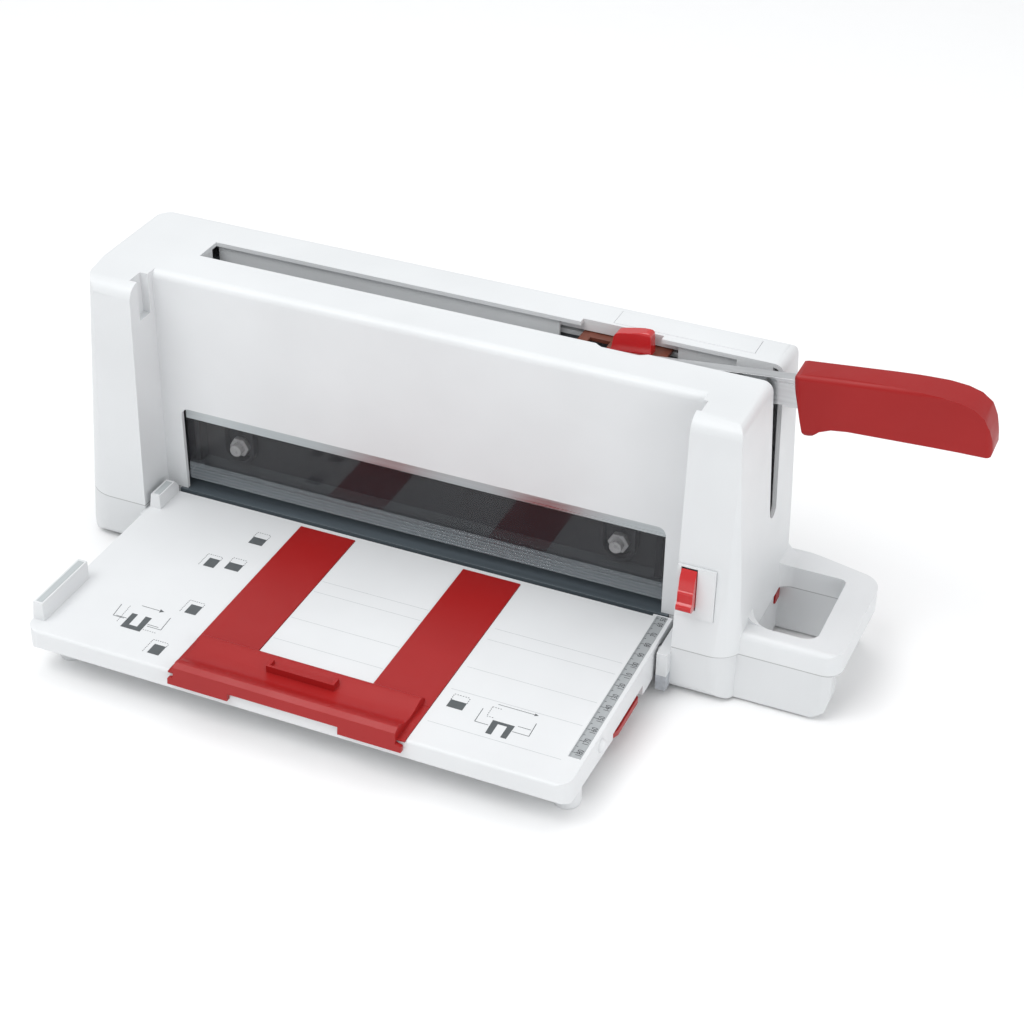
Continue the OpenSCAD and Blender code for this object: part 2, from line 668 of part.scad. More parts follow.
module clamp_foot() color([0.8, 0.85, 0.88, 0.5]) along_x(-152.5, 152.5) polygon(concat(
    [[-34, foot_z], [-34, foot_z + 13], [-45.5, foot_z + 13]],
    [for (i = [0 : 4]) for (p = arc([-45.2, foot_z + 11 - i * 2.2], 0.9, 90, 270, 4)) p],
    [[-43.5, foot_z]]));

module clamp_bolts() color("silver") for (s = [-1, 1]) {
    rod_y(s * bolt_x, bolt_z, -42.2, -19.8, 3.8);
    rod_y(s * bolt_x, bolt_z, -20.8, -19.6, 7);
}

module clamp_nuts() color("silver") for (s = [-1, 1]) difference() {
    hex_y(s * bolt_x, bolt_z, -37.5, -34, 6.4);
    rod_y(s * bolt_x, bolt_z, -42, -33, 3.8);
}

// ---- table ----
module table_plan(inset) polygon(round_rect(table_x0 + inset, table_x1 - inset,
    table_y0 + inset, table_y1 - inset, [9 - inset, 9 - inset, 2.5, 2.5]));

table_side = [[table_y1, seam_z], [table_y1, 20], [-58, 12.5], [-90, 10.5], [-201, 17], [-206, 19],
    [table_y0 - 1, 22], [table_y0 - 1, seam_z]];
table_side_in = [[table_y1 - 2.2, seam_z + 1], [table_y1 - 2.2, 20.8], [-59.3, 14.8], [-90, 12.8], [-200.5, 19.2],
    [table_y0 + 2.2, 21.5], [table_y0 + 2.2, seam_z + 1]];

module fence(y0, y1, h) along_y(y0, y1)
    polygon([[table_x0 + 0.2, bed_z], [-156.5, bed_z], [-156.5, bed_z + h], [table_x0 + 1.6, bed_z + h]]);
fences = [[-198, -153, 12, -154.5], [-75.5, -54, 9.5, -59.5]];   // y, y, height, end of the insert

module table_top() color("white") difference() {
    union() {
        intersection() {
            translate([0, 0, seam_z]) linear_extrude(bed_z - seam_z) table_plan(0);
            along_x(table_x0, table_x1) polygon(concat([[table_y0, seam_z], [table_y1, seam_z]],
                [[table_y1, bed_z]], arc([table_y0 + 2, bed_z - 2], 2, 90, 180, 4)));
        }
        box(150.2, table_x1, table_y1 - 3, table_y1 + 2, seam_z, bed_z);
        for (f = fences) fence(f[0], f[1], f[2]);
    }
    translate([0, 0, seam_z - 1]) linear_extrude(bed_z - seam_z - 1.5) table_plan(2.2);
    for (x = [-strap_x[1], strap_x[0]])
        box(x - gap, x + strap_w + gap, table_y0 - 1, -56.5, bed_z - 0.8, bed_z + 1);
    box(152.4, 159.3, -184, -52.2, bed_z - 0.7, bed_z + 1);
    for (f = fences) box(table_x0 + 2.6, -157.4, f[0] + 1.4, f[3] + 0.1, bed_z + f[2] - 1, bed_z + f[2] + 1);
    // the rear fence slopes at its end, to clear the bed as the table folds
    along_x(table_x0 - 1, -156) polygon([[-54, bed_z + 4.5], [-58, bed_z + 9.5], [-58, bed_z + 12],
        [-50, bed_z + 12], [-50, bed_z + 4.5]]);
    rod_x(hinge[0], hinge[1], table_x0 - 1, table_x0 + 3, 4);
    rod_x(hinge[0], hinge[1], table_x1 - 3, table_x1 + 1, 4);
    rod_x(boss_y, boss_z, table_x0 - 1, table_x0 + 3, 3);
    rod_x(boss_y, boss_z, table_x1 - 3, table_x1 + 1, 3);
}

table_screw_at = [[-120, -90], [120, -90], [-120, -185], [120, -185]];

module table_bottom() color("white") difference() {
    intersection() {
        along_x(table_x0, table_x1) polygon(table_side);
        linear_extrude(bed_z) table_plan(0);
    }
    difference() {
        intersection() {
            along_x(table_x0 + 2.2, table_x1 - 2.2) polygon(table_side_in);
            linear_extrude(bed_z) table_plan(2.2);
        }
        for (p = table_screw_at) rod_z(p[0], p[1], 0, seam_z + 4, 4);
        box(146, table_x1, -144, -95, 0, 19.5);
    }
    for (p = table_screw_at) {
        rod_z(p[0], p[1], 0, seam_z + 4, 1.7);
        rod_z(p[0], p[1], 0, 19.5, 3.2);
    }
    rod_x(hinge[0], hinge[1], table_x0 - 1, table_x0 + 3, 4);
    rod_x(hinge[0], hinge[1], table_x1 - 3, table_x1 + 1, 4);
    rod_x(boss_y, boss_z, table_x0 - 1, table_x0 + 3, 3);
    rod_x(boss_y, boss_z, table_x1 - 3, table_x1 + 1, 3);
    // pocket for the gauge lock lever
    box(148, table_x1 + 1, -142, -97, 5, 17.5);
    rod_z(lock_pin[0], lock_pin[1], 17, 19, 2);
}

module table_screws() color("silver") for (p = table_screw_at) {
    rod_z(p[0], p[1], 17.5, 19.5, 3);
    rod_z(p[0], p[1], 19.5, bed_z - 2.5, 1.7);
}

// height of the lower shell's floor behind its fold line
function floor_z(y) = 12.8 + 2 * (y + 90) / 30.7;

module table_hinge_blocks() color("silver") difference() {
    for (x = [table_x0 + 2.3, table_x1 - 13.3]) along_x(x, x + 11)
        polygon([[hinge[0] - 6, floor_z(hinge[0] - 6)], [hinge[0] + 6, floor_z(hinge[0] + 6)],
            [hinge[0] + 6, bed_z - 2.5], [hinge[0] - 6, bed_z - 2.5]]);
    rod_x(hinge[0], hinge[1], table_x0, table_x0 + 11, 3 + run);
    rod_x(hinge[0], hinge[1], table_x1 - 11, table_x1, 3 + run);
}

module table_legs() color("white") difference() {
    for (x = [-152, 152]) rod_z(x, -182, 0, 20, 7.5);
    along_x(-170, 170) polygon(table_side);
}

module snap_bosses() color("white") {
    rod_x(boss_y, boss_z, table_x1 - 2.5, table_x1, 3);
    rod_x(boss_y, boss_z, table_x0, table_x0 + 2.5, 3);
    intersection() {
        translate([table_x1 - 1, boss_y, boss_z]) sphere(r = 4.2);
        box(table_x1, table_x1 + 5, -170, -150, 0, bed_z);
    }
    intersection() {
        translate([table_x0 + 3, boss_y, boss_z]) sphere(r = 4.2);
        box(table_x0 - 5, table_x0, -170, -150, 0, bed_z);
    }
}

module ruler_strip() color("silver") box(152.5, 159.2, -183.9, -52.3, bed_z - 0.7, bed_z + 0.05);

module fence_inserts() color("lightgray") for (f = fences)
    box(table_x0 + 2.7, -157.5, f[0] + 1.5, f[3], bed_z + f[2] - 1, bed_z + f[2] + 0.2);

module hinge_brackets() color("gray") difference() {
    union() {
        box(in_left, in_left + 1.8, hinge[0] - 9, hinge[0] + 20, 5, hinge[1] + 5);
        box(in_right - 6.2, in_right, hinge[0] - 9, hinge[0] + 20, 5, hinge[1] + 5);
    }
    rod_x(hinge[0], hinge[1], in_left - 5, in_left + 10, 3);
    rod_x(hinge[0], hinge[1], in_right - 10, in_right + 5, 3);
}

module hinge_pins() color("silver") {
    rod_x(hinge[0], hinge[1], in_left, table_x0 + 10.5, 3);
    rod_x(hinge[0], hinge[1], table_x1 - 10.5, in_right, 3);
}

// ---- paper gauge ----
lip_z = bed_z + gap;
module lip_side() polygon(concat(
    [[-208.2, lip_z], [-173.5, lip_z], [-174.5, lip_z + 2], [-177.5, lip_z + 4.6]],
    [for (t = [0 : 6]) [-180 - 20 * t / 6, bed_z + 5.2 - 2.4 * sin(150 * t / 6)]],
    [[-203.5, bed_z + 6.6], [-207, bed_z + 7], [-210, bed_z + 5], [-211.2, bed_z - 6], [-208.2, bed_z - 6]]));

// front view of the lip, a little wider below its crest
module lip_front(x) polygon([[-x, bed_z - 7], [-x, bed_z - 2.5], [-66.5, bed_z - 1.5], [-66.5, bed_z + 8],
    [66.5, bed_z + 8], [66.5, bed_z - 1.5], [x, bed_z - 2.5], [x, bed_z - 7]]);

module paper_gauge() color("firebrick") difference() {
    union() {
        for (x = [-strap_x[1], strap_x[0]]) {
            box(x, x + strap_w, -178, -57, bed_z - 0.7, bed_z - 0.7 + strap_t);
            box(x, x + strap_w, -208.2, -178, bed_z - 0.7, lip_z);
        }
        intersection() {
            along_x(-80, 80) lip_side();
            along_y(-215, -170) lip_front(70);
        }
        difference() {
            box(-20.5, 20.5, -190, -183.5, bed_z + 1, bed_z + 7.2);
            box(-18.5, 18.5, -188.5, -180, bed_z + 5.2, bed_z + 9);
        }
    }
    // the lip is shorter in the middle, clear of the table's front
    box(-33, 33, -212, -207, bed_z - 8, bed_z - 1.5);
}

// ---- gauge lock lever ----
module gauge_lock_lever() color("firebrick") difference() {
    union() {
        rod_z(lock_pin[0], lock_pin[1], 12.2, 16.4, 4);
        translate([0, 0, 12.2]) linear_extrude(4.2)
            polygon([[152, -102], [158, -101.5], [162.3, -106], [162.3, -136], [160.5, -140.5],
                [157.5, -136], [156, -112]]);
    }
    rod_z(lock_pin[0], lock_pin[1], 10, 20, 2 + run);
}

module gauge_lock_pin() color("silver") union() {
    rod_z(lock_pin[0], lock_pin[1], 12.1, 19, 2);
    rod_z(lock_pin[0], lock_pin[1], 10.6, 12.1, 3.4);
}

base_pan();
front_shell();
rear_shell();
left_end();
right_end();
carry_loop();
slot_walls();
rear_cover();
top_hatch();
bed_plate();
stick_channel();
frame_rear();
frame_front();
frame_spacers();
frame_screws();
lever_pivot();
guide_pins();
guide_clips();
clamp_springs();
lock_rail();
switch_plate();
led_board();
battery_box();
batteries();
battery_cover();
case_screws();
rubber_feet();
hinge_brackets();
hinge_pins();
lever_arm();
lever_bush();
handle_grip();
handle_rivets();
roller_pin();
lock_lug();
drive_roller();
blade_holder();
blade();
blade_screws();
clamp_bar();
clamp_band();
clamp_shield();
clamp_foot();
clamp_bolts();
clamp_nuts();
lock_slider();
rocker_switch();
rocker_pin();
cutting_stick();
table_top();
table_bottom();
table_hinge_blocks();
table_legs();
snap_bosses();
ruler_strip();
fence_inserts();
table_screws();
paper_gauge();
gauge_lock_lever();
gauge_lock_pin();
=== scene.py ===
"""Looks of a desktop stack paper cutter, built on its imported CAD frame.

Lengths of the object are in millimetres and go through MM. The camera, the lights and the
scales of the patterns are in metres.
"""

import json
import math

import bmesh
import bpy
from mathutils import Euler, Matrix, Vector

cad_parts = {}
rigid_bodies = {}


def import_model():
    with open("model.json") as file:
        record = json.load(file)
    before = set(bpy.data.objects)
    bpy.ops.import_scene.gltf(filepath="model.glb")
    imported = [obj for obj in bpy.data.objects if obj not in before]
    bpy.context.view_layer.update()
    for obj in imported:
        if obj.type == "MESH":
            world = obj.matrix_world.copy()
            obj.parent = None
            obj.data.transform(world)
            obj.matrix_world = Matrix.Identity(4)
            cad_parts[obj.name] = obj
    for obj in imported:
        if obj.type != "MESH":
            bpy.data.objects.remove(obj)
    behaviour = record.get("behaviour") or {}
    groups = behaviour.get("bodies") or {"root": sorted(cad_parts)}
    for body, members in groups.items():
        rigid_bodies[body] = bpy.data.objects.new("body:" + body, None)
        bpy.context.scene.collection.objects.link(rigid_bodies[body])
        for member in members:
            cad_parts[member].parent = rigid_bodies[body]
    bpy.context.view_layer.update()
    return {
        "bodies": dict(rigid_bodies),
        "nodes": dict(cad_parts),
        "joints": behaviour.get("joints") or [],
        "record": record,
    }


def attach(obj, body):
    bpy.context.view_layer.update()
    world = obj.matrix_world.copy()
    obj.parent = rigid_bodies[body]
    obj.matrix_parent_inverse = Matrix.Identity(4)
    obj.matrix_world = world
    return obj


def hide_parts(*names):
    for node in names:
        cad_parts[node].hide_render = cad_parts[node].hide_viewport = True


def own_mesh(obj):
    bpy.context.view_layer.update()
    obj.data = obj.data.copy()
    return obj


MM = 0.001

# ---------------------------------------------------------------- camera
CAM_AZ, CAM_EL, CAM_ROLL = math.radians(23.13), math.radians(34.06), math.radians(0.72)
CAM_AT = Vector((0.4460, -0.9485, 0.7360))
CAM_LENS, CAM_SENSOR = 73.44, 36
CAM_CLIP = (0.05, 60)


def make_camera():
    back = Vector((
        math.sin(CAM_AZ) * math.cos(CAM_EL),
        -math.cos(CAM_AZ) * math.cos(CAM_EL),
        math.sin(CAM_EL),
    ))
    right = (-back).cross(Vector((0, 0, 1))).normalized()
    up = right.cross(-back)
    right_r = right * math.cos(CAM_ROLL) + up * math.sin(CAM_ROLL)
    up_r = up * math.cos(CAM_ROLL) - right * math.sin(CAM_ROLL)
    data = bpy.data.cameras.new("camera")
    data.lens = CAM_LENS
    data.sensor_width = CAM_SENSOR
    data.clip_start, data.clip_end = CAM_CLIP
    cam = bpy.data.objects.new("camera", data)
    turn = Matrix((right_r, up_r, back)).transposed().to_4x4()
    cam.matrix_world = Matrix.Translation(CAM_AT) @ turn
    bpy.context.scene.collection.objects.link(cam)
    bpy.context.scene.camera = cam


# ---------------------------------------------------------------- materials
# the part of a noise pattern's range that is spread over the wanted values
NOISE_LOW, NOISE_HIGH = 0.3, 0.7
MOTTLE_SCALE, GLOSS_SCALE, STREAK_SCALE, HAZE_SCALE = 14, 60, 420, 12
ALONG_X, ALONG_Y, ALONG_Z = (0.01, 1, 1), (1, 0.02, 1), (1, 1, 0.02)
# joint line round the body: height, half width, and how much darker the line and the base are (the
# base's darkening is painted shade)
SEAM_Z, SEAM_HALF = 32.0, 0.3
LINE_SHADE, BASE_PAINTED_SHADE = -0.42, -0.06


def shader(name, **sockets):
    """A material with a Principled shader, its sockets set by name (coat_weight -> Coat Weight)."""
    mat = bpy.data.materials.new(name)
    mat.use_nodes = True
    tree = mat.node_tree
    bsdf = tree.nodes["Principled BSDF"]
    names = {"ior": "IOR", "specular": "Specular IOR Level"}
    for key, value in sockets.items():
        socket = names.get(key, key.replace("_", " ").title())
        bsdf.inputs[socket].default_value = value
    return mat, tree, bsdf


def noise(tree, scale, stretch=(1, 1, 1), detail=3.0):
    """A noise pattern fixed to the object, in metres, drawn out along an axis by a small stretch."""
    coord = tree.nodes.new("ShaderNodeTexCoord")
    place = tree.nodes.new("ShaderNodeMapping")
    place.inputs["Scale"].default_value = stretch
    tex = tree.nodes.new("ShaderNodeTexNoise")
    tex.inputs["Scale"].default_value = scale
    tex.inputs["Detail"].default_value = detail
    tree.links.new(coord.outputs["Object"], place.inputs["Vector"])
    tree.links.new(place.outputs["Vector"], tex.inputs["Vector"])
    return tex.outputs["Fac"]


def vary(tree, fac, low, high, target):
    """Moves a number socket between low and high by a pattern."""
    span = tree.nodes.new("ShaderNodeMapRange")
    span.inputs["From Min"].default_value = NOISE_LOW
    span.inputs["From Max"].default_value = NOISE_HIGH
    span.inputs["To Min"].default_value = low
    span.inputs["To Max"].default_value = high
    tree.links.new(fac, span.inputs["Value"])
    tree.links.new(span.outputs["Result"], target)


def tint(tree, fac, dark, light, target):
    """Moves a colour socket between two colours by a pattern."""
    ramp = tree.nodes.new("ShaderNodeValToRGB")
    ends = zip(ramp.color_ramp.elements, (NOISE_LOW, NOISE_HIGH), (dark, light))
    for end, position, colour in ends:
        end.position = position
        end.color = (*colour, 1)
    tree.links.new(fac, ramp.inputs["Fac"])
    tree.links.new(ramp.outputs["Color"], target)


def bump(tree, fac, bsdf, strength, distance):
    node = tree.nodes.new("ShaderNodeBump")
    node.inputs["Strength"].default_value = strength
    node.inputs["Distance"].default_value = distance
    tree.links.new(fac, node.inputs["Height"])
    tree.links.new(node.outputs["Normal"], bsdf.inputs["Normal"])


def shade(colour, factor):
    return tuple(min(1.0, c * factor) for c in colour)


def plastic(name, colour, rough, grain=1100, depth=0.00004, mottle=0.03, **more):
    """Moulded plastic: fine spark-eroded grain, slight colour mottle and uneven gloss."""
    mat, tree, bsdf = shader(name, **more)
    tint(tree, noise(tree, MOTTLE_SCALE), shade(colour, 1 - mottle), shade(colour, 1 + mottle),
         bsdf.inputs["Base Color"])
    vary(tree, noise(tree, GLOSS_SCALE), rough * 0.88, rough * 1.12, bsdf.inputs["Roughness"])
    bump(tree, noise(tree, grain, detail=1.0), bsdf, 0.25, depth)
    return mat


def math_node(tree, operation, a, b, c=None):
    """A math node fed with sockets or numbers."""
    node = tree.nodes.new("ShaderNodeMath")
    node.operation = operation
    for socket, value in zip(node.inputs, (a, b, c)):
        if isinstance(value, (int, float)):
            socket.default_value = value
        elif value is not None:
            tree.links.new(value, socket)
    return node.outputs["Value"]


def seamed(mat):
    """Adds the fine dark joint line round the body at the seam, and painted shade that makes the base
    below it slightly greyer.
    """
    tree = mat.node_tree
    target = tree.nodes["Principled BSDF"].inputs["Base Color"]
    plain = target.links[0].from_socket
    split = tree.nodes.new("ShaderNodeSeparateXYZ")
    coord = tree.nodes.new("ShaderNodeTexCoord")
    tree.links.new(coord.outputs["Object"], split.inputs["Vector"])
    height = split.outputs["Z"]
    line = math_node(tree, "COMPARE", height, SEAM_Z * MM, SEAM_HALF * MM)
    # painted shade: the body below the seam is made slightly darker
    base = math_node(tree, "LESS_THAN", height, SEAM_Z * MM)
    share = math_node(tree, "MULTIPLY_ADD", base, BASE_PAINTED_SHADE, 1.0)
    share = math_node(tree, "MULTIPLY_ADD", line, LINE_SHADE, share)
    scale = tree.nodes.new("ShaderNodeVectorMath")
    scale.operation = "SCALE"
    tree.links.new(plain, scale.inputs[0])
    tree.links.new(share, scale.inputs["Scale"])
    tree.links.new(scale.outputs["Vector"], target)
    return mat


def metal(name, colour, rough, along=(1, 1, 1), depth=0.00003):
    """Metal: brushed streaks along one axis (a stretch below 1), or plain ground metal."""
    mat, tree, bsdf = shader(name, metallic=1.0)
    streak = noise(tree, STREAK_SCALE, along, 4.0)
    tint(tree, streak, shade(colour, 0.9), shade(colour, 1.08), bsdf.inputs["Base Color"])
    vary(tree, streak, rough * 0.75, rough * 1.3, bsdf.inputs["Roughness"])
    bump(tree, streak, bsdf, 0.3, depth)
    return mat


def coat(name, colour, rough, along=(1, 1, 1), spread=0.12, scale=350, **more):
    """Painted or coated metal: slight orange peel and, with a stretch, faint drawing lines."""
    mat, tree, bsdf = shader(name, **more)
    peel = noise(tree, scale, along, 3.0)
    tint(tree, peel, shade(colour, 1 - spread), shade(colour, 1 + spread), bsdf.inputs["Base Color"])
    vary(tree, peel, rough * 0.85, rough * 1.2, bsdf.inputs["Roughness"])
    bump(tree, peel, bsdf, 0.2, 0.00004)
    return mat


def sheer(name, colour, alpha, rough, ior):
    """Clear or smoked plastic, seen through by its alpha."""
    mat, tree, bsdf = shader(name, alpha=alpha, ior=ior, specular=0.8)
    haze = noise(tree, HAZE_SCALE, (0.3, 1, 1), 1.0)
    tint(tree, haze, shade(colour, 0.94), shade(colour, 1.06), bsdf.inputs["Base Color"])
    vary(tree, haze, rough * 0.8, rough * 1.3, bsdf.inputs["Roughness"])
    return mat


def make_materials():
    return {
        # the white shell gets its dark seam line, and painted shade on the lower body
        "white_shell": seamed(plastic("white_shell", (0.70, 0.715, 0.725), 0.42)),
        "table_white": plastic("table_white", (0.71, 0.722, 0.732), 0.45),
        "red_plastic": plastic("red_plastic", (0.335, 0.010, 0.010), 0.36, mottle=0.05, specular=0.35),
        "red_gloss": plastic("red_gloss", (0.52, 0.008, 0.010), 0.2, depth=0.00001, coat_weight=0.5,
                             coat_roughness=0.12),
        "red_grip": plastic("red_grip", (0.31, 0.007, 0.007), 0.40, grain=1400, depth=0.00003,
                            mottle=0.05, specular=0.3),
        # painted shade: the red slider base in the recess, painted dark brown
        "brown_slide": coat("brown_slide", (0.16, 0.045, 0.025), 0.42),
        "frame_steel": coat("frame_steel", (0.24, 0.255, 0.28), 0.5),
        "bright_steel": metal("bright_steel", (0.66, 0.67, 0.68), 0.34, ALONG_X),
        "blade_steel": metal("blade_steel", (0.72, 0.73, 0.75), 0.2, ALONG_Z),
        "screw_steel": metal("screw_steel", (0.78, 0.78, 0.78), 0.16),
        "band_metal": metal("band_metal", (0.50, 0.53, 0.54), 0.36, ALONG_X, 0.00005),
        "bed_dark": coat("bed_dark", (0.085, 0.105, 0.12), 0.34, (0.04, 1, 1), 0.2, 120),
        "dark_clamp": coat("dark_clamp", (0.034, 0.036, 0.043), 0.42, spread=0.08, scale=60),
        "smoke_plate": sheer("smoke_plate", (0.018, 0.018, 0.022), 0.27, 0.05, 1.6),
        "clear_plastic": sheer("clear_plastic", (0.36, 0.40, 0.43), 0.34, 0.06, 1.5),
        "ruler_metal": coat("ruler_metal", (0.37, 0.39, 0.40), 0.42, ALONG_Y, 0.06),
        "grey_insert": plastic("grey_insert", (0.46, 0.49, 0.50), 0.5),
        "grey_bracket": coat("grey_bracket", (0.40, 0.42, 0.45), 0.45),
        "rubber": plastic("rubber", (0.035, 0.035, 0.038), 0.8, grain=700, depth=0.00008, mottle=0.1),
        "board_green": plastic("board_green", (0.03, 0.16, 0.07), 0.4, mottle=0.15),
        "battery_skin": plastic("battery_skin", (0.55, 0.36, 0.05), 0.3, mottle=0.08),
        "spring_wire": metal("spring_wire", (0.6, 0.6, 0.61), 0.3),
        "bronze_bush": metal("bronze_bush", (0.50, 0.33, 0.14), 0.42),
        "black_box": plastic("black_box", (0.03, 0.03, 0.033), 0.55),
        "bolt_zinc": coat("bolt_zinc", (0.86, 0.86, 0.87), 0.3, spread=0.06, metallic=0.15),
        "print_dark": coat("print_dark", (0.085, 0.095, 0.10), 0.6),
        "print_faint": coat("print_faint", (0.50, 0.52, 0.53), 0.6, spread=0.04),
        "print_black": coat("print_black", (0.03, 0.03, 0.035), 0.6),
    }


# ---------------------------------------------------------------- pieces
# the housing is one moulding to look at: its pieces meet in the planes (axis, place) of SPLITS
HOUSING = ("front_shell", "rear_shell", "left_end", "right_end", "carry_loop")
SPLITS = ((0, -160), (0, 165), (0, 206.2), (1, -15))
HOUSING_EDGE = (0.9, 3)
# node: (width, segments) of its rounded edges; every other node keeps its CAD shape
SOFTENED = {
    "base_pan": (0.9, 3), "top_hatch": (0.25, 2), "switch_plate": (0.3, 2), "rocker_switch": (0.7, 3),
    "slot_walls": (0.2, 2), "lock_rail": (0.2, 2), "battery_cover": (0.3, 2), "battery_box": (0.2, 2),
    "bed_plate": (0.25, 2), "stick_channel": (0.2, 2), "cutting_stick": (0.3, 2),
    "hinge_brackets": (0.4, 2), "rubber_feet": (0.5, 3),
    "frame_front": (0.4, 2), "frame_rear": (0.4, 2), "frame_screws": (0.4, 2),
    "lever_pivot": (0.4, 2), "lever_arm": (0.45, 3), "handle_grip": (1.2, 4), "lock_lug": (0.4, 2),
    "lock_slider": (0.9, 3), "blade_holder": (0.3, 2),
    "clamp_bar": (0.4, 2), "clamp_band": (0.3, 2), "clamp_shield": (0.3, 2), "clamp_foot": (0.15, 2),
    "clamp_bolts": (0.4, 2), "clamp_nuts": (0.35, 2),
    "table_top": (0.5, 3), "table_bottom": (0.6, 3), "table_legs": (0.6, 2),
    "table_hinge_blocks": (0.3, 2), "fence_inserts": (0.3, 2), "ruler_strip": (0.02, 1),
    "paper_gauge": (0.4, 3), "gauge_lock_lever": (0.4, 2),
}
# nodes that look other than the material slot they are filed under
# the lock slider below its knob gets the dark brown of painted shade
OWN_LOOK = {"lock_slider": "brown_slide", "rocker_switch": "red_gloss", "clamp_bolts": "bolt_zinc",
            "clamp_nuts": "bolt_zinc"}
# distances in metres: doubled corners, corners of two pieces that meet, corners that lie in a plane
WELD, WELD_PIECES, IN_PLANE = 1e-6, 3e-6, 2e-6
# angles in degrees: faces counted as flat, edges that are rounded, edges that stay sharp to the light
FLAT_BELOW, ROUND_ABOVE, SHARP_ABOVE = 0.4, 32, 50
BRACKET_WHITE_Z = 15
KNOB_Z = 170.6


def link(name, mesh, mat, body):
    obj = bpy.data.objects.new(name, mesh)
    bpy.context.scene.collection.objects.link(obj)
    mesh.materials.clear()
    mesh.materials.append(mat)
    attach(obj, body)
    return obj


def applied(obj):
    """Gives the object its mesh with the modifiers applied."""
    graph = bpy.context.evaluated_depsgraph_get()
    mesh = bpy.data.meshes.new_from_object(
        obj.evaluated_get(graph), preserve_all_data_layers=True, depsgraph=graph)
    obj.modifiers.clear()
    obj.data = mesh


def on_split(face):
    """Whether a face lies in one of the hidden planes where the housing's pieces meet."""
    return any(all(abs(v.co[axis] - at * MM) < IN_PLANE for v in face.verts) for axis, at in SPLITS)


def skin(frame, nodes, mat, body, slot, width, segments):
    """A copy of one or more CAD nodes with sharp edges rounded, shown in their place."""
    work = bmesh.new()
    for node in nodes:
        work.from_mesh(frame["nodes"][node].data)
    bmesh.ops.remove_doubles(work, verts=work.verts, dist=WELD)
    if len(nodes) > 1:
        inner = [f for f in work.faces if on_split(f)]
        bmesh.ops.delete(work, geom=inner, context="FACES")
        bmesh.ops.remove_doubles(work, verts=work.verts, dist=WELD_PIECES)
    bmesh.ops.dissolve_limit(
        work, angle_limit=math.radians(FLAT_BELOW), verts=work.verts, edges=work.edges)
    mesh = bpy.data.meshes.new(nodes[0] + "_skin")
    work.to_mesh(mesh)
    work.free()
    obj = link(nodes[0] + "_skin", mesh, mat, body)
    edge = obj.modifiers.new("edge", "BEVEL")
    edge.width = width * MM
    edge.segments = segments
    edge.limit_method = "ANGLE"
    edge.angle_limit = math.radians(ROUND_ABOVE)
    edge.use_clamp_overlap = True
    edge.miter_outer = "MITER_ARC"
    applied(obj)
    obj.data.polygons.foreach_set("use_smooth", [True] * len(obj.data.polygons))
    obj.data.set_sharp_from_angle(angle=math.radians(SHARP_ABOVE))
    even = obj.modifiers.new("even", "WEIGHTED_NORMAL")
    even.keep_sharp = True
    applied(obj)
    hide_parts(*nodes)
    return obj


def dress(frame, mats):
    """Rounds the nodes that are seen up close and gives every node its material."""
    record = frame["record"]
    slots = {s["node"]: s["material_slot"] for s in record["subparts"]}
    body_of = {n: b for b, nodes in record["behaviour"]["bodies"].items() for n in nodes}
    skin(frame, HOUSING, mats["white_shell"], "cutter_body", "white_shell", *HOUSING_EDGE)
    for node, slot in slots.items():
        mat = mats[OWN_LOOK.get(node, slot)]
        if node in HOUSING:
            continue
        if node in SOFTENED:
            skin(frame, (node,), mat, body_of[node], slot, *SOFTENED[node])
        else:
            mesh = frame["nodes"][node].data
            mesh.materials.clear()
            mesh.materials.append(mat)


def flex_springs(frame, mats):
    """The springs hang from the frame, as a copy of their CAD shape in the spring wire look."""
    springs = link("clamp_springs_skin", frame["nodes"]["clamp_springs"].data.copy(),
                   mats["spring_wire"], "cutter_body")
    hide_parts("clamp_springs")
    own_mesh(springs)


def paint_brackets(mats):
    """The hinge brackets are grey low down, and white like the pillars above."""
    mesh = bpy.data.objects["hinge_brackets_skin"].data
    mesh.materials.append(mats["white_shell"])
    work = bmesh.new()
    work.from_mesh(mesh)
    everything = list(work.verts) + list(work.edges) + list(work.faces)
    bmesh.ops.bisect_plane(
        work, geom=everything, plane_co=(0, 0, BRACKET_WHITE_Z * MM), plane_no=(0, 0, 1))
    for face in work.faces:
        face.material_index = 1 if face.calc_center_median().z > BRACKET_WHITE_Z * MM else 0
    work.to_mesh(mesh)
    work.free()


def paint_knob(mats):
    """The lock slider's knob is glossy red above its slide, which is red plastic painted dark brown as
    painted shade.
    """
    mesh = bpy.data.objects["lock_slider_skin"].data
    mesh.materials.append(mats["red_gloss"])
    for poly in mesh.polygons:
        if poly.center.z > KNOB_Z * MM:
            poly.material_index = 1


# ---------------------------------------------------------------- print
TABLE_Z = 32.0
PRINT_Z = TABLE_Z + 0.04
RULER_Z = TABLE_Z + 0.09
# widths of the printed lines: across the table, round the marks, in the signs
FAINT_LINE, MARK_LINE, SIGN_LINE = 0.35, 0.45, 0.4
DASH_PITCH, DASH_FILL = 1.5, 0.55

# faint lines: their places in Y, and the spans in X between the gauge's straps
FORMAT_LINES_Y = (-100.8, -111.3, -138.0, -158.6, -188.0)
STRAP_GAPS = ((-33.5, 33.5), (74.5, 150.2))

# format marks: x, y, width and depth of the dark square, and how far its dashed frame rises above
MARKS = (
    (-91.5, -84.4, 9.0, 6.8, 4.9), (-104.0, -115.2, 7.0, 8.4, 3.0), (-91.5, -112.7, 9.2, 6.8, 4.7),
    (-90.4, -158.8, 7.2, 8.4, 3.0), (-90.0, -198.6, 7.2, 8.4, 3.0), (78.3, -173.2, 9.3, 6.3, 4.8),
)
NARROW_MARK, FRAME_OVERHANG = 8, 2.8

